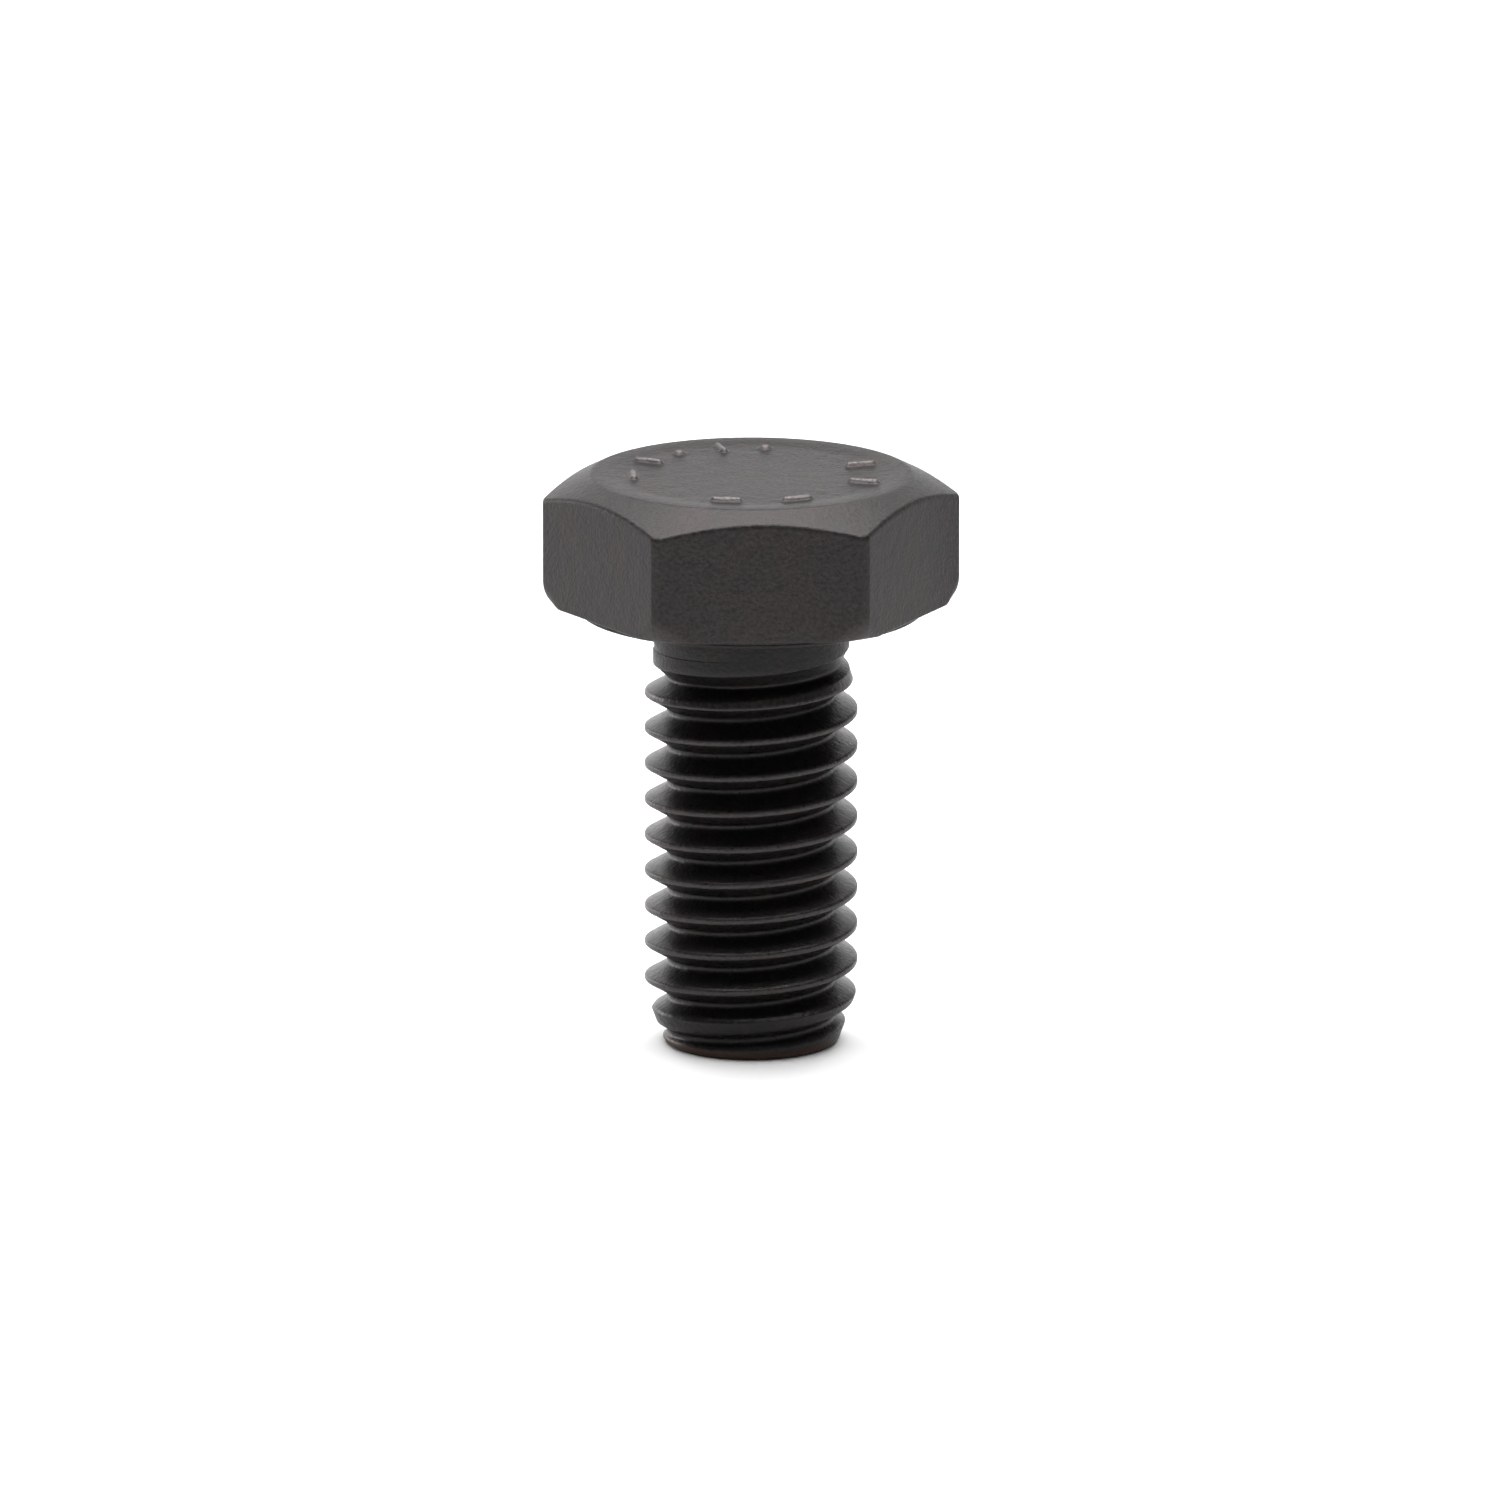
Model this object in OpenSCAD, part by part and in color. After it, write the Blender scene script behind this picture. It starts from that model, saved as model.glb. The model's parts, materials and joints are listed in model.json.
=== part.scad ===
// Fully threaded hexagon head bolt, M6 thread on a 12 mm shank, forged and rolled in one piece.
// The origin is the centre of the bearing face under the head, and +Z runs along the axis
// towards the head. Two flats of the hexagon face +Y and -Y, and two corners point along X.

/* [Head] */
// Width across the flats of the hexagon
across_flats = 9.95; // [9.78:0.01:10]
// Height of the head, from the bearing face to the rim of the top
head_h = 3.8; // [3.6:0.05:4.2]
// Radius that the hexagon's six corners are cut back to
corner_r = 5.68; // [5.5:0.01:5.7]
// Radius of the flat circle that the top chamfer leaves
top_flat_r = 4.38; // [3.9:0.02:4.5]
// Slope of the top chamfer, in degrees from the horizontal
top_chamfer_deg = 27; // [20:1:32]
// Radius that the underside of the corners is cut back to
under_r = 5.32; // [5:0.02:5.5]
// Slope of the cut under the corners, in degrees from the horizontal
under_chamfer_deg = 56; // [30:1:60]
// Radius of the raised washer face under the head
washer_r = 4.72; // [4.44:0.02:4.8]
// Height of the washer face
washer_h = 0.2; // [0.15:0.05:0.4]
// Radius of the shallow dish in the top, at its rim
dish_r = 4.2; // [3.6:0.05:4.25]
// Depth of the dish in the top
dish_depth = 0.05; // [0.02:0.01:0.1]

/* [Raised marks] */
// Distance of the marks from the axis
mark_ring_r = 3.2; // [2.8:0.05:3.3]
// Height of the marks above the floor of the dish
mark_h = 0.12; // [0.06:0.01:0.2]
// Width of a bar, and half the width of a dot
mark_w = 0.24; // [0.16:0.01:0.3]
// Length of a bar
mark_l = 0.9; // [0.6:0.05:1]

/* [Thread] */
// Length under the head, from the bearing face to the end
shank_l = 12.1; // [8:0.1:25]
// Diameter over the thread crests
major_d = 5.82; // [5.79:0.01:5.97]
// Distance from one crest to the next along the axis
pitch = 1; // [0.9:0.05:1]
// Angle around the axis at which a crest passes a whole number of pitches from the bearing face
thread_turn = -75; // [-180:1:180]

/* [Neck] */
// Diameter of the smooth neck, which is the blank before the thread is rolled
neck_d = 5.36; // [5.2:0.02:5.5]
// Distance from the bearing face at which the first shallow groove starts
neck_l = 0.8; // [0.4:0.05:1]
// Distance from the bearing face at which the groove has its full depth
root_full_l = 1.95; // [1.5:0.05:3]
// Distance from the bearing face at which the crest starts to rise above the neck
crest_start_l = 1.5; // [1.2:0.1:2]
// Distance from the bearing face at which the crest has its full height
crest_full_l = 2.4; // [2.2:0.1:3.5]
// Radius of the fillet between the neck and the bearing face
fillet_r = 0.25; // [0.2:0.05:0.4]

/* [Threaded end] */
// Radius of the flat end face
end_r = 2.24; // [2:0.02:2.3]
// Radius at the top of the steep chamfer around the end face
end_chamfer_r = 2.38; // [2.3:0.02:2.5]
// Slope of the long taper that starts the thread, in degrees from the axis
lead_deg = 20; // [15:1:30]

/* [Hidden] */
$fn = 96;

// Hexagon
across_corners = across_flats / cos(30);
corner_top_z = head_h - (corner_r - top_flat_r) * tan(top_chamfer_deg);
corner_low_z = washer_h + (corner_r - under_r) * tan(under_chamfer_deg);
dish_slope_w = 1.2;

// Thread form: sixty-degree flanks between a narrow flat crest and a narrow flat root
major_r = major_d / 2;
depth = 0.6 * pitch;
minor_r = major_r - depth;
crest_flat = 0.15 * pitch;
root_flat = pitch - crest_flat - 2 * depth * tan(30);
neck_r = neck_d / 2;

// Turns of the thread surface, with spare turns past both ends that are cut off flat
columns = 48;
rows_per_turn = 4;
turns = ceil(shank_l / pitch) + 3;
rows = rows_per_turn * turns;
first_turn = -(turns - 1);

// The thread surface is cut flat inside the neck, which overlaps it a little
thread_top_z = -neck_l + 0.1;
// The neck stands this far outside the smooth start of the thread surface
neck_skin = 0.01;
// The groove is at least this deep, so that its two edges never meet
least_groove = 0.01;

// Smooth change from 0 to 1 as t goes from 0 to 1
function ease(t) = let (u = min(max(t, 0), 1)) u * u * (3 - 2 * u);

// Height of the crest of turn n at the angle a
function crest_z(a, n) = pitch * ((a - thread_turn) / 360 + n);

// Radius of the crest and of the root at the height z: both run out into the neck
function crest_r(z) =
    neck_r + (major_r - neck_r) * ease((-z - crest_start_l) / (crest_full_l - crest_start_l));
function root_r(z) =
    min(neck_r - least_groove,
        neck_r - (neck_r - minor_r) * ease((-z - neck_l) / (root_full_l - neck_l)));

// Largest radius at the height z that the taper at the threaded end leaves
function lead_r(z) = end_chamfer_r + max(z + shank_l, 0) * tan(lead_deg);

// Half the width of the crest and of the root where they lie at the radius r
function crest_half(r) = crest_flat / 2 + (major_r - r) * tan(30);
function root_half(r) = root_flat / 2 + (r - minor_r) * tan(30);

// Radius and height of the four corners of one turn: both edges of the crest, both of the root
function corner(a, n, k) =
    let (
        zc = crest_z(a, n),
        zr = zc + pitch / 2,
        rc = crest_r(zc),
        rr = root_r(zr)
    )
    k == 0 ? [rc, zc - crest_half(rc)]
    : k == 1 ? [rc, zc + crest_half(rc)]
    : k == 2 ? [rr, zr - root_half(rr)]
    : [rr, zr + root_half(rr)];

// Point of the thread surface in column i and row j
function thread_point(i, j) =
    let (
        a = 360 * i / columns,
        p = corner(a, first_turn + floor(j / rows_per_turn), j % rows_per_turn),
        r = min(p[0], lead_r(p[1]))
    )
    [r * cos(a), r * sin(a), p[1]];

// Index of the point in column i and row j, where the last column joins the first one turn up
function at(i, j) = i < columns ? i * (rows + 1) + j : j + rows_per_turn;

// The thread surface, closed by a fan to a point on the axis at either end
module thread_solid() {
    points = concat(
        [for (i = [0:columns - 1], j = [0:rows]) thread_point(i, j)],
        [[0, 0, crest_z(180, first_turn)], [0, 0, crest_z(180, first_turn + turns)]]
    );
    low = columns * (rows + 1);
    high = low + 1;
    last = rows - rows_per_turn;
    sides = [
        for (i = [0:columns - 1], j = [0:(i < columns - 1 ? rows : last) - 1])
            each [[at(i, j), at(i, j + 1), at(i + 1, j + 1)], [at(i, j), at(i + 1, j + 1), at(i + 1, j)]]
    ];
    low_fan = concat(
        [for (i = [0:columns - 1]) [at(i, 0), at(i + 1, 0), low]],
        [for (j = [0:rows_per_turn - 1]) [at(0, j + 1), at(0, j), low]]
    );
    high_fan = concat(
        [for (i = [0:columns - 2]) [at(i + 1, rows), at(i, rows), high]],
        [[at(0, rows), at(columns - 1, last), high]],
        [for (j = [last:rows - 1]) [at(columns - 1, j), at(columns - 1, j + 1), high]]
    );
    polyhedron(points, concat(sides, low_fan, high_fan));
}

// Everything that the flat end, its chamfer and the cut inside the neck leave of the thread
module thread_bounds() {
    spare = 1;
    chamfer_h = major_r + spare - end_r;
    rotate_extrude()
        polygon([
            [0, -shank_l],
            [end_r, -shank_l],
            [end_r + chamfer_h, -shank_l + chamfer_h],
            [end_r + chamfer_h, thread_top_z],
            [0, thread_top_z]
        ]);
}

// Smooth neck with the fillet under the bearing face
module neck() {
    r = neck_r + neck_skin;
    rotate_extrude() {
        translate([0, -neck_l]) square([r, neck_l + washer_h]);
        difference() {
            translate([r - fillet_r, -fillet_r]) square([2 * fillet_r, fillet_r + washer_h / 2]);
            translate([r + fillet_r, -fillet_r]) circle(r = fillet_r);
        }
    }
}

// Hexagon with its top chamfer, its cut-back corners and the washer face
module head() {
    intersection() {
        translate([0, 0, washer_h])
            cylinder(d = across_corners, h = head_h - washer_h, $fn = 6);
        rotate_extrude()
            polygon([
                [0, washer_h],
                [under_r, washer_h],
                [corner_r, corner_low_z],
                [corner_r, corner_top_z],
                [top_flat_r, head_h],
                [0, head_h]
            ]);
    }
    cylinder(r = washer_r, h = 2 * washer_h);
}

// Shallow dish in the top of the head
module dish() {
    translate([0, 0, head_h - dish_depth])
        cylinder(r1 = dish_r - dish_slope_w, r2 = dish_r, h = dish_depth);
    translate([0, 0, head_h])
        cylinder(r = dish_r, h = 1);
}

// Raised bar that runs around the ring, at the angle a
module bar(a) {
    rotate(a) translate([mark_ring_r - mark_w / 2, -mark_l / 2]) square([mark_w, mark_l]);
}

// Raised bar that points at the axis, at the angle a
module tick(a) {
    rotate(a) translate([mark_ring_r - mark_l / 2, -mark_w / 2]) square([mark_l, mark_w]);
}

// Raised round dot at the angle a
module dot(a) {
    rotate(a) translate([mark_ring_r, 0]) circle(r = mark_w);
}

// Ring of plain raised marks, in three groups
module marks() {
    translate([0, 0, head_h - dish_depth - mark_h])
        linear_extrude(2 * mark_h) {
            for (a = [-105, -70]) bar(a);
            for (a = [-20, 18]) tick(a);
            for (a = [80, 125]) dot(a);
            for (a = [102, 148]) tick(a);
            bar(180);
        }
}

module hex_bolt() {
    color("#5a5556") {
        difference() {
            head();
            dish();
        }
        marks();
        neck();
        intersection() {
            thread_solid();
            thread_bounds();
        }
    }
}

hex_bolt();
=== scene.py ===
"""Hex bolt: a fully threaded M6 x 12 hexagon head bolt in blackened stainless steel, on a pale studio floor."""

import json
import math

import bmesh
import bpy
from bpy.props import FloatProperty, FloatVectorProperty, IntProperty, PointerProperty
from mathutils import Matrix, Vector, noise


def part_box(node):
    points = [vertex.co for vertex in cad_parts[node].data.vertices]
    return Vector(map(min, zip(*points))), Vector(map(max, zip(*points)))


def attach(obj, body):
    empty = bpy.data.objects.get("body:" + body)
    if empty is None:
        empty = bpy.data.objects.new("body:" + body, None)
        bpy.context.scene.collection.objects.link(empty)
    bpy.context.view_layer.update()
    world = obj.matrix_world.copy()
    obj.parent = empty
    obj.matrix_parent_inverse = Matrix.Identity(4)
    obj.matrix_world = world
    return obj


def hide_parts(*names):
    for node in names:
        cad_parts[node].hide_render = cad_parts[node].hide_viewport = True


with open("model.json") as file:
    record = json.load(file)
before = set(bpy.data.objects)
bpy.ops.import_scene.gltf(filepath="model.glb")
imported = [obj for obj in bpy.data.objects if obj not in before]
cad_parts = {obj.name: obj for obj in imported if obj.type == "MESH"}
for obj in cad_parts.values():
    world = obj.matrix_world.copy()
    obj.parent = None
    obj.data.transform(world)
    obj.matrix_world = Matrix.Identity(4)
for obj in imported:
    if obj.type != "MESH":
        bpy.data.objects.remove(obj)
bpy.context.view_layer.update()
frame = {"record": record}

bl_info = {
    "name": "Hex bolt",
    "version": (1, 0, 0),
    "blender": (4, 5, 0),
    "location": "View3D > Sidebar > Hex bolt",
    "description": "Builds a blackened hexagon head bolt around its packed solid",
    "category": "Add Mesh",
}

MM = 0.001
LOW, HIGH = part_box("hex_bolt")
MOUNTS = {mount["name"]: mount for mount in frame["record"]["mounts"]}
HEAD_HEIGHT = MOUNTS["hex_drive"]["pos_m"][2]
CREST_RADIUS = MOUNTS["thread"]["dims"]["r_mm"] * MM
TAN_30 = math.tan(math.radians(30))

# The head's skin
MOST_CUT = 0.4  # share of a side that the rounding of its corner may take
SUPPORT = 1.4  # place of the support point beside a rounding, in sizes of the rounding
CORNER_BLEND = 0.04 * MM  # softens the line where the flats meet the round blank
LIP = 0.06 * MM  # least height of the sides over the washer face
UNDER_TURN = math.radians(60)  # how far the curve under a corner turns
WAVE_LENGTH = 0.45 * MM  # forging waves in the top
WAVE_HEIGHT = 0.009 * MM
DISH_SLOPE = 0.8 * MM  # width of the dish's soft rim
DOME = 1.25  # how flat a mark's top is: 1 for a full dome, more for a flatter one
# Wear on the tops of the marks: rubbed steel, lightened further as a painted highlight
MARK_WEAR_AND_HIGHLIGHT = 0.75
CORNER_SHADE_SPREAD = math.radians(15)  # painted shade: how far the darkening reaches from the +X corner
CORNER_SHADE_DEPTH = 0.95  # share of the wear that the painted shade takes away at the corner
MIDDLE_COLUMNS = 96
MIDDLE_RADII = (0.5, 1.0, 1.5, 1.9, 2.2, 2.45)  # in millimetres, inside the marks
MARK_COLUMNS = 520  # fine enough for the outline of the marks
MARK_RINGS = 32
MARK_BAND = (2.55 * MM, 3.95 * MM)  # radii between which the marks lie
RIM_RADII = (4.08 * MM, 4.16 * MM)
CORNER_DEGREES = (0.0, 0.3, 0.6, 0.8, 1.0, 1.2, 1.4, 1.7, 2.2)  # columns beside each corner
FLAT_STEPS = 11  # columns from there to the middle of a flat
UNDER_STEPS = 6
FLAT_MARGIN = 0.15 * MM  # flat part of the top outside the marks
SIDE_MARGIN = 0.08 * MM  # upright part of a side over the curve under it
BEARING_MARGIN = 0.2 * MM  # flat part of the bearing face inside its rim
WASHER_ROUND = 0.8  # rounding of the washer face, as a share of the head's

# The thread's skin
ROLLED_FROM = 0.8  # millimetres under the head where the rolling dies began to press
NARROW = 0.45  # largest rounding of crest or root, as a share of the thread's depth
LEAD_BLEND = 0.06 * MM  # softens the line where the thread meets the lead taper
RUBBED_DEPTH = 0.12 * MM  # depth of the rubbed band on the crest
RUBBED_START = 0.45 * MM  # length over which the rubbing sets in
BEND_STEPS = (-1, -0.35, 0.35, 1)  # rows on each bend of the thread's outline
EVENING = 0.15  # how far the rows are pulled towards even spacing, so that none coincide
SPARE_TURNS = 4  # turns built past the two cuts
NECK_MARGIN = 0.1 * MM  # plain neck between the fillet and the first cut
CUT_REACH = 1e-7  # how near a vertex is to a cut that it lies on
FILLET_STEPS = 8
END_STEPS = 6
EVENED = 0.8  # how far the rounded end evens out the thread's last turn
RING_STEPS = (0.97, 0.6)  # rings on the flat end, as shares of its radius

# Sockets of Blender's Mix node for colours
MIX_A, MIX_B, MIX_COLOUR = 6, 7, 2

EDGE_TINT = "#cbcbcb"  # keeps the oxide dark at a grazing view

# The stage
FLOOR_HALF = 1.5
FLOOR_GAP = 0.002 * MM
CLIP_START = 0.01
WORLD_GREY = "#767676"
AIM_SIDE = -0.03 * MM
AIM_RISE = 0.16 * MM
# Soft boxes: name, place over the floor and size in metres, and power in watts
LAMPS = (
    ("overhead", (0.0, 0.013, 0.12), (0.12, 0.12), 0.35),
    ("backdrop", (0.0, 0.3, 0.05), (0.3, 0.1), 0.255),
    ("left", (-0.186, 0.167, 0.03), (0.14, 0.06), 0.24),
    ("right", (0.186, 0.167, 0.03), (0.14, 0.06), 0.072),
    ("back left", (-0.119, 0.271, 0.19), (0.12, 0.12), 0.17),
    ("back right", (0.119, 0.271, 0.19), (0.12, 0.12), 0.13),
    ("front", (0.0, -0.25, 0.26), (0.25, 0.25), 0.05),
)


def linear(code, alpha=1.0):
    """The linear RGBA colour of an sRGB hex code."""
    parts = [int(code[i : i + 2], 16) / 255 for i in (1, 3, 5)]
    return [c / 12.92 if c <= 0.04045 else ((c + 0.055) / 1.055) ** 2.4 for c in parts] + [alpha]


def length(name, description, default, low=0.0, high=0.1):
    """A length property in metres."""
    return FloatProperty(
        name=name, description=description, default=default, min=low, max=high, unit="LENGTH", precision=6
    )


def tint(name, description, code):
    """A colour property that starts at an sRGB hex code."""
    return FloatVectorProperty(
        name=name, description=description, default=linear(code), size=4, min=0, max=1, subtype="COLOR"
    )


class HeadSettings(bpy.types.PropertyGroup):
    """Sizes of the hexagon head."""

    across_flats: length("Across flats", "Width between two opposite flats", HIGH[1] - LOW[1])
    height: length("Height", "From the bearing face to the rim of the top", HEAD_HEIGHT)
    corner_round: length("Corner rounding", "Radius of the hexagon's upright edges", 0.25 * MM)
    flat_radius: length("Top flat radius", "Radius of the flat circle inside the top chamfer", 4.38 * MM)
    chamfer: FloatProperty(
        name="Top chamfer", description="Slope of the top chamfer", default=math.radians(27), subtype="ANGLE"
    )
    edge_round: length("Edge rounding", "Size of the rounding on the head's edges", 0.1 * MM)
    corner_lift: length("Corner lift", "Height at which the corners start to curve in", 0.85 * MM)
    corner_under: length("Corner under radius", "Radius of the corners at the underside", 5.34 * MM)
    washer_radius: length("Washer face radius", "Radius of the raised bearing ring", 4.72 * MM)
    washer_height: length("Washer face height", "How far the bearing ring stands out", 0.2 * MM)
    dish_radius: length("Dish radius", "Radius of the shallow dish in the top", 4.2 * MM)
    dish_depth: length("Dish depth", "Depth of the shallow dish in the top", 0.05 * MM)


class MarkSettings(bpy.types.PropertyGroup):
    """Sizes of the plain raised marks on the head."""

    ring_radius: length("Ring radius", "Distance of the marks from the axis", 3.2 * MM)
    rise: length("Rise", "Height of the marks above the dish", 0.108 * MM)
    stroke: length("Stroke", "Width of a bar at its foot", 0.28 * MM)
    reach: length("Reach", "Length of a bar", 0.95 * MM)
    dot: length("Dot", "Width of a dot at its foot", 0.46 * MM)


class ThreadSettings(bpy.types.PropertyGroup):
    """Sizes of the threaded shank."""

    pitch: length("Pitch", "Distance from one crest to the next", 1.0 * MM)
    crest_flat: length("Crest width", "Width of the crest before it is rounded", 0.15 * MM)
    depth: length("Depth", "Height of a crest above the root", 0.6 * MM)
    crest_round: length("Crest rounding", "How softly the crest meets the flanks", 0.06 * MM)
    root_round: length("Root rounding", "How softly the root meets the flanks", 0.09 * MM)
    turn: FloatProperty(
        name="Turn",
        description="Angle of the thread against the flats",
        default=math.radians(-75),
        subtype="ANGLE",
    )
    neck_radius: length("Neck radius", "Radius of the smooth blank under the head", 2.68 * MM)
    fillet: length("Fillet", "Radius between the neck and the bearing face", 0.25 * MM)
    groove_start: length("Groove start", "Distance under the head where the groove begins", 0.8 * MM)
    groove_full: length("Groove full", "Distance under the head where the groove is full", 1.96 * MM)
    crest_start: length("Crest start", "Distance under the head where the crest begins to rise", 1.5 * MM)
    crest_full: length("Crest full", "Distance under the head where the crest is full", 2.4 * MM)
    end_radius: length("End radius", "Radius of the lead taper at the end", 2.38 * MM)
    end_round: length("End rounding", "Radius of the rounded rim of the end", 0.14 * MM)
    lead: FloatProperty(
        name="Lead taper",
        description="Slope of the taper from the axis",
        default=math.radians(20),
        subtype="ANGLE",
    )
    columns: IntProperty(name="Columns", description="Steps around one turn", default=216, min=48, max=720)


class FinishSettings(bpy.types.PropertyGroup):
    """Colours of the black oxide finish."""

    oxide: tint("Oxide", "Colour of the black oxide where it is thick", "#232222")
    brown: tint("Brown oxide", "Warmer patches of the oxide", "#292423")
    # Also the lighter colour of the painted highlight on the marks' tops
    worn: tint("Worn oxide", "Colour of the steel where the oxide is rubbed off", "#6a6363")
    end_brown: tint("End brown", "Thin brown oxide around the end that rests on other things", "#5e4436")
    head_wear: FloatProperty(
        name="Head wear", description="How far the head is rubbed", default=0.11, min=0, max=1
    )
    crest_wear: FloatProperty(
        name="Crest wear", description="How far the crests are rubbed", default=0.11, min=0, max=1
    )


class StageSettings(bpy.types.PropertyGroup):
    """Floor, lights and camera."""

    distance: length("Camera distance", "From the camera to the bolt", 0.6, 0.1, 5.0)
    view_width: length("View width", "Width of the picture at the bolt", 40.93 * MM)
    elevation: FloatProperty(
        name="Elevation", description="Height of the camera", default=math.radians(13.8), subtype="ANGLE"
    )
    turn: FloatProperty(
        name="Turn", description="Angle of the bolt to the camera", default=math.radians(3.0), subtype="ANGLE"
    )
    floor: tint("Floor", "Colour of the floor", "#fdfdfd")


class BoltSettings(bpy.types.PropertyGroup):
    """All sizes and colours of the bolt and its stage."""

    head: PointerProperty(type=HeadSettings)
    marks: PointerProperty(type=MarkSettings)
    thread: PointerProperty(type=ThreadSettings)
    finish: PointerProperty(type=FinishSettings)
    stage: PointerProperty(type=StageSettings)


# ---------------------------------------------------------------- numbers


def ease(t):
    """Smooth change from 0 to 1 as t goes from 0 to 1."""
    t = min(max(t, 0.0), 1.0)
    return t * t * (3 - 2 * t)


def soft_min(a, b, k):
    """The lesser of a and b, with the corner between them rounded over k."""
    overlap = max(k - abs(a - b), 0.0)
    return min(a, b) - (overlap * overlap / (4 * k) if k > 0 else 0.0)


def soft_max(a, b, k):
    """The greater of a and b, with the corner between them rounded over k."""
    return -soft_min(-a, -b, k)


def around(angle, radius, height):
    """A point from its angle, its distance from the axis and its height."""
    return Vector((radius * math.cos(angle), radius * math.sin(angle), height))


def evenly(count, start=0.0, end=1.0):
    """count + 1 numbers from start to end."""
    return [start + (end - start) * i / count for i in range(count + 1)]


def rounded_path(points, size, steps=4):
    """The path with each inner corner replaced by a short curve, and a support point next to it."""
    path = [points[0]]
    for before, corner, after in zip(points, points[1:], points[2:]):
        cut = min(size, (corner - before).length * MOST_CUT, (after - corner).length * MOST_CUT)
        start = corner + (before - corner).normalized() * cut
        end = corner + (after - corner).normalized() * cut
        path.append(corner + (start - corner) * SUPPORT)
        path += [start.lerp(corner, t).lerp(corner.lerp(end, t), t) for t in evenly(steps)]
        path.append(corner + (end - corner) * SUPPORT)
    return path + [points[-1]]


# ---------------------------------------------------------------- closed skin of rings


class Skin:
    """A mesh made of rings of points around the axis."""

    def __init__(self):
        self.mesh = bmesh.new()
        self.worn = self.mesh.verts.layers.float.new("worn")
        self.rolled = self.mesh.verts.layers.float.new("rolled")

    def ring(self, points, worn=0.0):
        """A ring of new vertices, with its wear and painted light: how far the oxide is rubbed, lowered as
        painted shade and raised as a painted highlight; one number, or one for each point.
        """
        made = [self.mesh.verts.new(p) for p in points]
        for i, vertex in enumerate(made):
            vertex[self.worn] = worn[i] if isinstance(worn, list) else worn
            vertex[self.rolled] = ease(-vertex.co.z / MM - ROLLED_FROM)
        return made

    def band(self, first, second):
        """Quads between two rings of the same length."""
        for i in range(len(first)):
            j = (i + 1) % len(first)
            self.mesh.faces.new((first[i], first[j], second[j], second[i]))

    def bands(self, rings):
        """Quads between each ring and the next."""
        for first, second in zip(rings, rings[1:]):
            self.band(first, second)

    def stitch(self, first, second):
        """Triangles between two rings of different lengths, matched by angle."""
        first, second = by_angle(first), by_angle(second)
        i = j = 0
        while i < len(first) or j < len(second):
            a, b = first[i % len(first)], second[j % len(second)]
            next_a, next_b = first[(i + 1) % len(first)], second[(j + 1) % len(second)]
            first_is_nearer = turned(next_a, i, first) <= turned(next_b, j, second)
            if j >= len(second) or (i < len(first) and first_is_nearer):
                self.mesh.faces.new((a, next_a, b))
                i += 1
            else:
                self.mesh.faces.new((a, next_b, b))
                j += 1

    def fan(self, ring, centre, worn=0.0):
        """Triangles from a ring to one point."""
        tip = self.ring([centre], worn)[0]
        for i in range(len(ring)):
            self.mesh.faces.new((ring[i], ring[(i + 1) % len(ring)], tip))


def vertex_angle(vertex):
    """Angle of a vertex around the axis, from 0 to a full turn."""
    return math.atan2(vertex.co.y, vertex.co.x) % math.tau


def by_angle(ring):
    """The ring's vertices in order of angle."""
    return sorted(ring, key=vertex_angle)


def turned(vertex, index, ring):
    """Angle of the vertex after index, counted on past a full turn at the ring's end."""
    return vertex_angle(vertex) + (math.tau if index + 1 >= len(ring) else 0.0)


# ---------------------------------------------------------------- head


def hexagon_radius(angle, half_width, corner_round):
    """Distance from the axis to a hexagon with rounded corners that point along +X."""
    off_corner = abs((math.degrees(angle) + 30) % 60 - 30)
    off_flat = math.radians(30 - off_corner)
    centre = (half_width - corner_round) / math.cos(math.radians(30))
    flat_end = math.atan2(half_width * TAN_30 - corner_round * TAN_30, half_width)
    if off_flat <= flat_end:
        return half_width / math.cos(off_flat)
    across = centre * math.sin(math.radians(off_corner))
    sharp = centre * math.cos(math.radians(off_corner)) + math.sqrt(corner_round**2 - across**2)
    return soft_min(sharp, HIGH[0], CORNER_BLEND)


def head_angles():
    """Angles of the head's columns, close together at the six rounded corners."""
    flat = evenly(FLAT_STEPS, CORNER_DEGREES[-1], 30.0)[1:]
    half = list(CORNER_DEGREES) + flat
    sector = half + [60 - a for a in reversed(half[1:-1])]
    return [math.radians(60 * k + a) for k in range(6) for a in sector]


def turn_from_corner(angle):
    """Turn from the head's +X corner, near which the head is darkened by painted shade."""
    return (angle + math.pi) % math.tau - math.pi


def head_profile(head, radius):
    """Outline of the head at a column where the hexagon has that radius, from the top to the bearing face."""
    top_edge = head.height - (radius - head.flat_radius) * math.tan(head.chamfer)
    corner = head.corner_under
    under = min(radius - LIP, corner)
    overhang = max(radius - corner, 0.0) / ((HIGH[0] - corner) or LIP)
    start = head.washer_height + max(LIP, head.corner_lift * math.sqrt(overhang) - head.washer_height)
    curve = []
    for t in evenly(UNDER_STEPS):
        inward = (1 - math.cos(UNDER_TURN * t)) / (1 - math.cos(UNDER_TURN))
        down = math.sin(UNDER_TURN * t) / math.sin(UNDER_TURN)
        curve.append(Vector((radius - (radius - under) * inward, start - (start - head.washer_height) * down)))
    upper = rounded_path(
        [
            Vector((head.flat_radius - FLAT_MARGIN, head.height)),
            Vector((head.flat_radius, head.height)),
            Vector((radius, top_edge)),
            Vector((radius, start + SIDE_MARGIN)),
        ],
        head.edge_round,
    )
    lower = rounded_path(
        [
            curve[-1],
            Vector((head.washer_radius, head.washer_height)),
            Vector((head.washer_radius, 0.0)),
            Vector((head.washer_radius - BEARING_MARGIN, 0.0)),
        ],
        head.edge_round * WASHER_ROUND,
    )
    return upper + curve + lower[1:]


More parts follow.
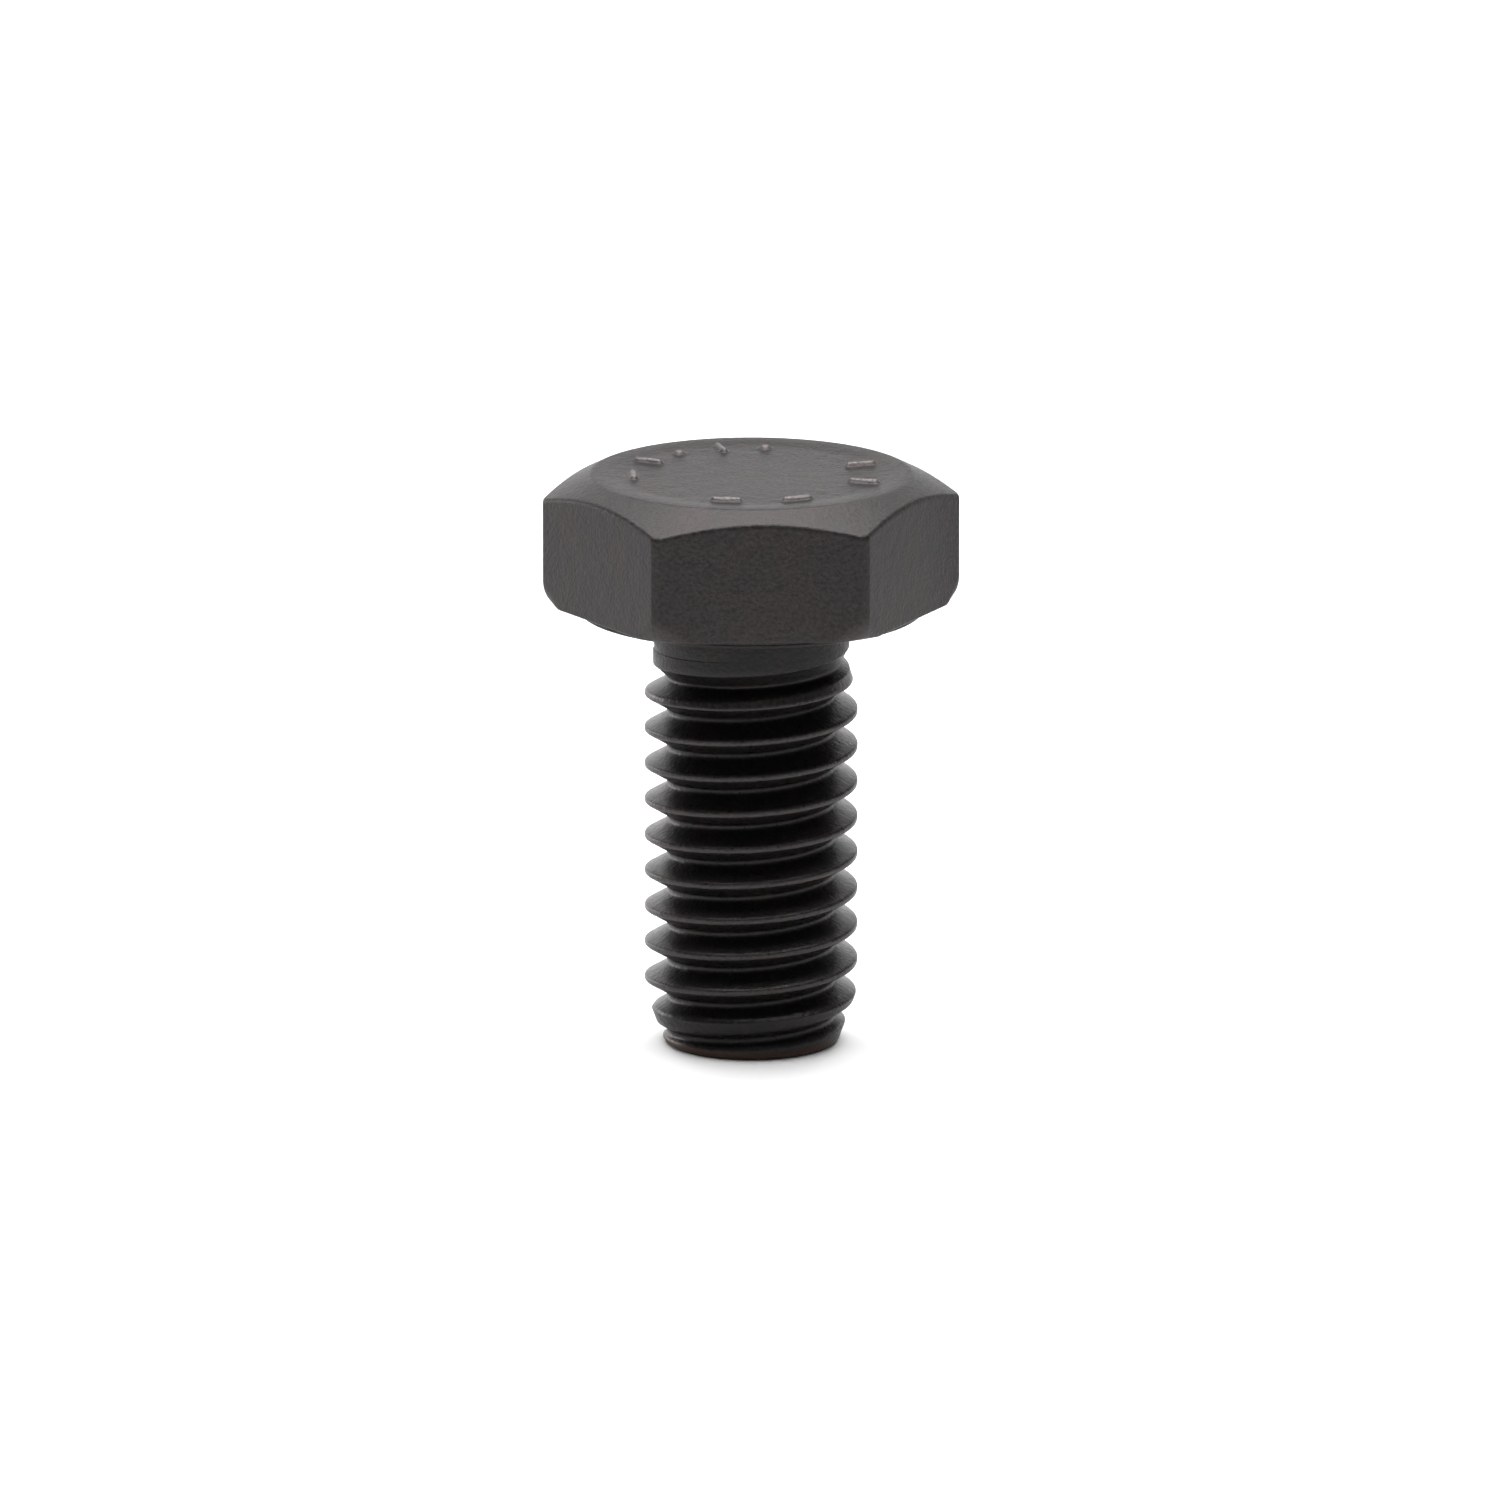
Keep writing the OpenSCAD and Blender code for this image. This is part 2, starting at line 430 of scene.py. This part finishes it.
def mark_rise(x, y, marks):
    """Height of the plain raised marks at a point of the top, from 0 to 1."""
    bars, ticks, dots = (-105, -70, 180), (-20, 18, 102, 148), (80, 125)
    shapes = [(a, 0.0, marks.reach, marks.stroke) for a in bars]
    shapes += [(a, marks.reach, 0.0, marks.stroke) for a in ticks]
    shapes += [(a, 0.0, 0.0, marks.dot) for a in dots]
    best = 0.0
    for degrees, along, across, width in shapes:
        angle = math.radians(degrees)
        out = x * math.cos(angle) + y * math.sin(angle) - marks.ring_radius
        side = y * math.cos(angle) - x * math.sin(angle)
        dx = max(abs(out) - max(along - width, 0.0) / 2, 0.0)
        dy = max(abs(side) - max(across - width, 0.0) / 2, 0.0)
        best = max(best, ease(DOME - math.hypot(dx, dy) / (width / 2) * DOME))
    return best


def top_height(x, y, head, marks):
    """Height of the top of the head: a shallow dish with raised marks and slight forging waves."""
    r = math.hypot(x, y)
    inner = head.dish_radius - DISH_SLOPE
    floor = 1 - ease((r - inner) / (head.dish_radius - inner))
    waves = noise.fractal(Vector((x, y, 0)) / WAVE_LENGTH, 0.8, 2.0, 4) * WAVE_HEIGHT
    rise = mark_rise(x, y, marks) * marks.rise
    return head.height - head.dish_depth * floor + waves * floor + rise


def add_head(skin, head, marks, wear):
    """The head's skin, from the middle of the top to the bearing face. Returns its last ring."""

    def top_ring(count, radius):
        angles = [math.tau * i / count for i in range(count)]
        places = [around(a, radius, 0) for a in angles]
        # The marks' tops take the lighter steel, as rubbed wear and a painted highlight
        return skin.ring(
            [Vector((p.x, p.y, top_height(p.x, p.y, head, marks))) for p in places],
            [wear + (MARK_WEAR_AND_HIGHLIGHT - wear) * mark_rise(p.x, p.y, marks) ** 3 for p in places],
        )

    middle = [top_ring(MIDDLE_COLUMNS, r * MM) for r in MIDDLE_RADII]
    centre = Vector((0, 0, top_height(0, 0, head, marks)))
    skin.fan(middle[0], centre, wear)
    skin.bands(middle)
    marked_radii = evenly(MARK_RINGS, MARK_BAND[0], MARK_BAND[1]) + list(RIM_RADII)
    marked = [top_ring(MARK_COLUMNS, r) for r in marked_radii]
    skin.stitch(middle[-1], marked[0])
    skin.bands(marked)

    angles = head_angles()
    profiles = [
        head_profile(head, hexagon_radius(a, head.across_flats / 2, head.corner_round)) for a in angles
    ]
    # Painted shade: the wear is taken away near the +X corner, so the faces darken towards it
    unshaded_share = [
        1 - CORNER_SHADE_DEPTH * math.exp(-((turn_from_corner(a) / CORNER_SHADE_SPREAD) ** 2)) for a in angles
    ]
    # Painted shade under the head: the wear fades out towards the bearing face, so the washer face and the
    # lowest part of the head are darker
    rings = [
        skin.ring(
            [around(a, p[row].x, p[row].y) for a, p in zip(angles, profiles)],
            [wear * s * ease(p[row].y / head.washer_height - 0.5) for s, p in zip(unshaded_share, profiles)],
        )
        for row in range(len(profiles[0]))
    ]
    skin.stitch(marked[-1], rings[0])
    skin.bands(rings)
    return rings[-1]


# ---------------------------------------------------------------- threaded shank


class Thread:
    """The rolled thread as a surface: its distance from the axis at any angle and height."""

    def __init__(self, settings, shank):
        self.set = settings
        self.shank = shank
        self.root_flat = settings.pitch - settings.crest_flat - 2 * settings.depth * TAN_30
        self.root = CREST_RADIUS - settings.depth

    def crest_height(self, angle, turn):
        """Height of the crest at an angle, that many turns up."""
        return self.set.pitch * ((angle - self.set.turn) / math.tau + turn)

    def crest_radius(self, z):
        """Radius of the crest, which rises out of the neck."""
        rise = ease((-z - self.set.crest_start) / (self.set.crest_full - self.set.crest_start))
        return self.set.neck_radius + (CREST_RADIUS - self.set.neck_radius) * rise

    def root_radius(self, z):
        """Radius of the root, which sinks into the neck."""
        sink = ease((-z - self.set.groove_start) / (self.set.groove_full - self.set.groove_start))
        return self.set.neck_radius - (self.set.neck_radius - self.root) * sink

    def radius(self, angle, z):
        """Distance from the axis: two flanks between a rounded crest and a rounded root."""
        pitch = self.set.pitch
        off = abs(((z - self.crest_height(angle, 0)) / pitch + 0.5) % 1 - 0.5) * pitch
        flank = CREST_RADIUS + (self.set.crest_flat / 2 - off) / TAN_30
        crest, root = self.crest_radius(z), self.root_radius(z)
        room = NARROW * (crest - root)
        r = soft_max(flank, root, min(self.set.root_round, room))
        r = soft_min(r, crest, min(self.set.crest_round, room))
        lead = self.set.end_radius + max(z + self.shank, 0) * math.tan(self.set.lead)
        return soft_min(r, lead, LEAD_BLEND)

    def rubbed(self, point):
        """How far the oxide at a point is rubbed off, from 0 in the groove to 1 on the crest."""
        below = (math.hypot(point.x, point.y) - self.crest_radius(point.z)) / RUBBED_DEPTH
        return ease(below + 1) * ease((-point.z - self.set.crest_start) / RUBBED_START)

    def rows(self, z):
        """Offsets of one turn's rows from its crest, close together where the surface bends."""
        crest, root = self.crest_radius(z), self.root_radius(z + self.set.pitch / 2)
        room = NARROW * (crest - root)
        half = self.set.pitch / 2
        crest_edge = self.set.crest_flat / 2 + (CREST_RADIUS - crest) * TAN_30
        root_edge = half - self.root_flat / 2 - (root - self.root) * TAN_30
        bend = min(self.set.crest_round, room) * TAN_30
        dip = min(self.set.root_round, room) * TAN_30
        first = [max(crest_edge + bend * s, crest_edge * 0.3 * (s + 1.4)) for s in BEND_STEPS]
        second = [min(root_edge + dip * s, half - (half - root_edge) * 0.3 * (1.4 - s)) for s in BEND_STEPS]
        upper = first + [(first[-1] + second[0]) / 2] + second
        even = evenly(len(upper) + 1, 0.0, half)[1:-1]
        upper = [u + (e - u) * EVENING for u, e in zip(upper, even)]
        return [-u for u in reversed(upper)] + [0.0] + upper + [half]


def add_thread(skin, thread, wear, neck_cut, end_cut):
    """The threaded shank between two flat cuts. Returns the rings of vertices at the two cuts.

    Parts of the mesh are gathered in dicts and not in sets, because a set's order changes from run to run.
    """
    s = thread.set
    turns = math.ceil(thread.shank / s.pitch) + SPARE_TURNS
    first_turn = SPARE_TURNS // 2 - turns
    columns = []
    for i in range(s.columns):
        angle = math.tau * i / s.columns
        column = []
        for turn in range(first_turn, first_turn + turns):
            crest = thread.crest_height(angle, turn)
            column += [crest + offset for offset in thread.rows(crest)]
        columns.append([around(angle, thread.radius(angle, z), z) for z in column])
    per_turn = len(columns[0]) // turns
    made = [skin.ring(column, [wear * thread.rubbed(p) for p in column]) for column in columns]
    for i in range(s.columns):
        last = i == s.columns - 1
        shift = per_turn if last else 0
        here, there = made[i], made[0 if last else i + 1]
        for j in range(len(here) - 1 - shift):
            skin.mesh.faces.new((here[j], there[j + shift], there[j + shift + 1], here[j + 1]))
    shank_faces = dict.fromkeys(face for column in made for vertex in column for face in vertex.link_faces)
    for height, outward in ((neck_cut, 1), (end_cut, -1)):
        faces = [f for f in shank_faces if f.is_valid]
        edges = dict.fromkeys(e for f in faces for e in f.edges)
        verts = dict.fromkeys(v for f in faces for v in f.verts)
        result = bmesh.ops.bisect_plane(
            skin.mesh,
            geom=list(verts) + list(edges) + faces,
            dist=1e-9,
            plane_co=(0, 0, height),
            plane_no=(0, 0, outward),
            clear_outer=True,
        )
        kept = result["geom"]
        shank_faces = [part for part in kept if isinstance(part, bmesh.types.BMFace) and part.is_valid]
    loose = [v for column in made for v in column if v.is_valid and not v.link_faces]
    bmesh.ops.delete(skin.mesh, geom=loose, context="VERTS")
    rims = []
    border = dict.fromkeys(v for f in shank_faces for e in f.edges if e.is_boundary for v in e.verts)
    for height in (neck_cut, end_cut):
        rims.append(by_angle([v for v in border if abs(v.co.z - height) < CUT_REACH]))
    return rims


def add_shank(skin, thread, wear):
    """The shank's skin, from the fillet to the end face. Returns the ring at the bearing face."""
    s = thread.set
    neck_cut = -(s.fillet + NECK_MARGIN)
    end = -thread.shank
    neck_rim, end_rim = add_thread(skin, thread, wear, neck_cut, end + s.end_round)

    fillet = [neck_rim]
    for t in evenly(FILLET_STEPS):
        bend = math.radians(90) * t
        r = s.neck_radius + s.fillet * (1 - math.cos(bend))
        z = s.fillet * (math.sin(bend) - 1)
        fillet.append(skin.ring([around(vertex_angle(v), r, z) for v in neck_rim]))
    skin.bands(fillet)

    rim_radii = [math.hypot(v.co.x, v.co.y) for v in end_rim]
    even = sum(rim_radii) / len(rim_radii)
    tip = [end_rim]
    for t in evenly(END_STEPS)[1:]:
        bend = math.radians(90) * t
        drop = s.end_round * (1 - math.cos(bend))
        z = end + s.end_round * (1 - math.sin(bend))
        radii = [r + (even - r) * t * EVENED - drop for r in rim_radii]
        tip.append(skin.ring([around(vertex_angle(v), r, z) for v, r in zip(end_rim, radii)]))
    flat_rim = tip[-1]
    for scale in RING_STEPS:
        tip.append(skin.ring([Vector((v.co.x * scale, v.co.y * scale, end)) for v in flat_rim]))
    skin.bands(tip)
    skin.fan(tip[-1], Vector((0, 0, end)))
    return fillet[-1]


# ---------------------------------------------------------------- finish


def add_node(material, kind, settings=None, inputs=None):
    """Adds a node with its settings and its inputs, each a plain value or another node's output."""
    node = material.node_tree.nodes.new(kind)
    for name, value in (settings or {}).items():
        setattr(node, name, value)
    for name, value in (inputs or {}).items():
        if isinstance(value, bpy.types.NodeSocket):
            material.node_tree.links.new(value, node.inputs[name])
        else:
            node.inputs[name].default_value = value
    return node


def new_material(name):
    """An empty node material."""
    material = bpy.data.materials.new(name)
    material.use_nodes = True
    material.node_tree.nodes.clear()
    return material


def black_oxide_stainless(finish):
    """Stainless steel, cold forged and thread rolled, then blackened in a hot oxide bath.

    The film mirrors like a dark metal and stays dark at a grazing view, so the surface is a satin near-black.
    The steel shows through in fine specks where the head, the marks and the crests are rubbed, and the film
    is browner in patches and at the end. The marks' tops are lightened further as a painted highlight, and the
    head carries less wear, as painted shade, near its +X corner and towards the bearing face. The forged head
    is grainy, and the rolled thread smoother.
    """
    material = new_material("Black oxide stainless steel")
    place = add_node(material, "ShaderNodeTexCoord").outputs["Object"]
    # Brown patches about 1.6 mm apart
    patch = add_node(
        material,
        "ShaderNodeTexNoise",
        inputs={"Vector": place, "Scale": 1 / (1.6 * MM), "Detail": 4.0, "Roughness": 0.6},
    )
    # The oxide's grain, drawn at 0.11 mm because the real one is too fine to show
    grain = add_node(
        material,
        "ShaderNodeTexNoise",
        inputs={"Vector": place, "Scale": 1 / (0.11 * MM), "Detail": 3.0, "Roughness": 0.65},
    )
    # Shallow dents, about 0.45 mm across
    dents = add_node(
        material,
        "ShaderNodeTexNoise",
        inputs={"Vector": place, "Scale": 1 / (0.45 * MM), "Detail": 3.0, "Roughness": 0.5},
    )
    browned = add_node(
        material,
        "ShaderNodeMapRange",
        inputs={"Value": patch.outputs["Fac"], "From Min": 0.42, "From Max": 0.68},
    )
    speckle = add_node(
        material,
        "ShaderNodeMapRange",
        inputs={
            "Value": grain.outputs["Fac"],
            "From Min": 0.35,
            "From Max": 0.65,
            "To Min": 0.45,
            "To Max": 1.6,
        },
    )
    # The wear attribute is rubbed steel plus painted light: a painted highlight on the marks' tops, and painted
    # shade near the head's +X corner and towards the bearing face
    wear = add_node(material, "ShaderNodeAttribute", {"attribute_name": "worn"})
    worn = add_node(
        material,
        "ShaderNodeMath",
        {"operation": "MULTIPLY"},
        {0: wear.outputs["Fac"], 1: speckle.outputs["Result"]},
    )
    film = add_node(
        material,
        "ShaderNodeMix",
        {"data_type": "RGBA"},
        {"Factor": browned.outputs["Result"], MIX_A: finish.oxide, MIX_B: finish.brown},
    )
    # Mixes in the lighter steel by wear and painted light together
    rubbed = add_node(
        material,
        "ShaderNodeMix",
        {"data_type": "RGBA"},
        {"Factor": worn.outputs["Value"], MIX_A: film.outputs[MIX_COLOUR], MIX_B: finish.worn},
    )
    # The brown tint fades out between 0.1 and 0.3 mm above the end
    height = add_node(material, "ShaderNodeSeparateXYZ", inputs={"Vector": place})
    near_end = add_node(
        material,
        "ShaderNodeMapRange",
        inputs={
            "Value": height.outputs["Z"],
            "From Min": LOW[2] + 0.3 * MM,
            "From Max": LOW[2] + 0.1 * MM,
            "To Max": 0.4,
        },
    )
    colour = add_node(
        material,
        "ShaderNodeMix",
        {"data_type": "RGBA"},
        {"Factor": near_end.outputs["Result"], MIX_A: rubbed.outputs[MIX_COLOUR], MIX_B: finish.end_brown},
    )
    satin = add_node(
        material,
        "ShaderNodeMapRange",
        inputs={
            "Value": grain.outputs["Fac"],
            "From Min": 0.3,
            "From Max": 0.7,
            "To Min": 0.4,
            "To Max": 0.54,
        },
    )
    # Rolling smooths the thread, so its roughness is 0.14 lower than the head's
    rolled = add_node(material, "ShaderNodeAttribute", {"attribute_name": "rolled"})
    burnished = add_node(
        material,
        "ShaderNodeMath",
        {"operation": "MULTIPLY_ADD"},
        {0: rolled.outputs["Fac"], 1: -0.14, 2: satin.outputs["Result"]},
    )
    fine = add_node(
        material,
        "ShaderNodeBump",
        inputs={"Strength": 1.0, "Distance": 0.02 * MM, "Height": grain.outputs["Fac"]},
    )
    broad = add_node(
        material,
        "ShaderNodeBump",
        inputs={
            "Strength": 0.6,
            "Distance": 0.026 * MM,
            "Height": dents.outputs["Fac"],
            "Normal": fine.outputs["Normal"],
        },
    )
    shader = add_node(
        material,
        "ShaderNodeBsdfPrincipled",
        inputs={
            "Base Color": colour.outputs[MIX_COLOUR],
            "Metallic": 0.7,
            "Roughness": burnished.outputs["Value"],
            "Specular Tint": linear(EDGE_TINT),
            "Normal": broad.outputs["Normal"],
        },
    )
    add_node(material, "ShaderNodeOutputMaterial", inputs={"Surface": shader.outputs["BSDF"]})
    return material


def matt_board(name, colour):
    """Painted board, rolled with matt emulsion: even, pale and without gloss."""
    material = new_material(name)
    shader = add_node(material, "ShaderNodeBsdfPrincipled", inputs={"Base Color": colour, "Roughness": 0.9})
    add_node(material, "ShaderNodeOutputMaterial", inputs={"Surface": shader.outputs["BSDF"]})
    return material


# ---------------------------------------------------------------- operators


class HEXBOLT_OT_build_bolt(bpy.types.Operator):
    """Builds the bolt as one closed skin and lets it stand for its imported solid."""

    bl_idname = "hexbolt.build_bolt"
    bl_label = "Build the bolt"

    def execute(self, context):
        settings = context.scene.hex_bolt
        skin = Skin()
        bearing = add_head(skin, settings.head, settings.marks, settings.finish.head_wear)
        neck = add_shank(skin, Thread(settings.thread, -LOW[2]), settings.finish.crest_wear)
        skin.stitch(bearing, neck)
        bmesh.ops.recalc_face_normals(skin.mesh, faces=skin.mesh.faces)
        open_edges = [e for e in skin.mesh.edges if not e.is_manifold]
        if open_edges:
            raise RuntimeError(f"the bolt's skin isn't closed: {len(open_edges)} open edges")
        mesh = bpy.data.meshes.new("bolt_skin")
        skin.mesh.to_mesh(mesh)
        skin.mesh.free()
        mesh.shade_smooth()
        mesh.materials.append(black_oxide_stainless(settings.finish))
        bolt = bpy.data.objects.new("blackened_bolt", mesh)
        context.scene.collection.objects.link(bolt)
        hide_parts("hex_bolt")
        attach(bolt, "root")
        return {"FINISHED"}


class HEXBOLT_OT_set_stage(bpy.types.Operator):
    """Sets the floor, the soft lights and the camera."""

    bl_idname = "hexbolt.set_stage"
    bl_label = "Set the stage"

    def execute(self, context):
        stage = context.scene.hex_bolt.stage
        scene = context.scene
        floor_z = LOW[2] - FLOOR_GAP

        mesh = bpy.data.meshes.new("studio_floor")
        corners = [(x * FLOOR_HALF, y * FLOOR_HALF, floor_z) for x, y in ((-1, -1), (1, -1), (1, 1), (-1, 1))]
        mesh.from_pydata(corners, [], [(0, 1, 2, 3)])
        mesh.materials.append(matt_board("Matt white board", stage.floor))
        floor = bpy.data.objects.new("studio_floor", mesh)
        scene.collection.objects.link(floor)

        for name, (x, y, rise), size, power in LAMPS:
            light = bpy.data.lights.new(name, "AREA")
            light.shape = "RECTANGLE"
            light.size, light.size_y = size
            light.energy = power
            lamp = bpy.data.objects.new(name, light)
            lamp.location = (x, y, floor_z + rise)
            aim = Vector((0, 0, floor_z / 2)) - Vector((x, y, floor_z + rise))
            lamp.rotation_euler = aim.to_track_quat("-Z", "Y").to_euler()
            scene.collection.objects.link(lamp)

        world = bpy.data.worlds.new("studio")
        world.use_nodes = True
        background = world.node_tree.nodes["Background"]
        background.inputs["Color"].default_value = linear(WORLD_GREY)
        scene.world = world

        camera = bpy.data.cameras.new("studio_camera")
        camera.lens = camera.sensor_width * stage.distance / stage.view_width
        camera.clip_start = CLIP_START
        eye = bpy.data.objects.new("studio_camera", camera)
        aim = Vector((AIM_SIDE, 0, (LOW[2] + HIGH[2]) / 2 + AIM_RISE))
        azimuth = -stage.turn
        toward = Vector((
            math.sin(azimuth) * math.cos(stage.elevation),
            -math.cos(azimuth) * math.cos(stage.elevation),
            math.sin(stage.elevation),
        ))
        eye.location = aim + toward * stage.distance
        eye.rotation_euler = (-toward).to_track_quat("-Z", "Y").to_euler()
        scene.collection.objects.link(eye)
        scene.camera = eye
        scene.view_settings.view_transform = "Standard"
        return {"FINISHED"}


class VIEW3D_PT_hex_bolt(bpy.types.Panel):
    """Sizes, colours and build buttons of the bolt."""

    bl_label = "Hex bolt"
    bl_space_type = "VIEW_3D"
    bl_region_type = "UI"
    bl_category = "Hex bolt"

    def draw(self, context):
        settings = context.scene.hex_bolt
        for group in (settings.head, settings.marks, settings.thread, settings.finish, settings.stage):
            box = self.layout.box()
            for name in group.__annotations__:
                box.prop(group, name)
        self.layout.operator("hexbolt.build_bolt")
        self.layout.operator("hexbolt.set_stage")


CLASSES = (
    HeadSettings,
    MarkSettings,
    ThreadSettings,
    FinishSettings,
    StageSettings,
    BoltSettings,
    HEXBOLT_OT_build_bolt,
    HEXBOLT_OT_set_stage,
    VIEW3D_PT_hex_bolt,
)


def register():
    for cls in CLASSES:
        bpy.utils.register_class(cls)
    bpy.types.Scene.hex_bolt = PointerProperty(type=BoltSettings)


def unregister():
    del bpy.types.Scene.hex_bolt
    for cls in reversed(CLASSES):
        bpy.utils.unregister_class(cls)


def main():
    register()
    bpy.ops.hexbolt.build_bolt()
    bpy.ops.hexbolt.set_stage()


if __name__ == "__main__":
    main()
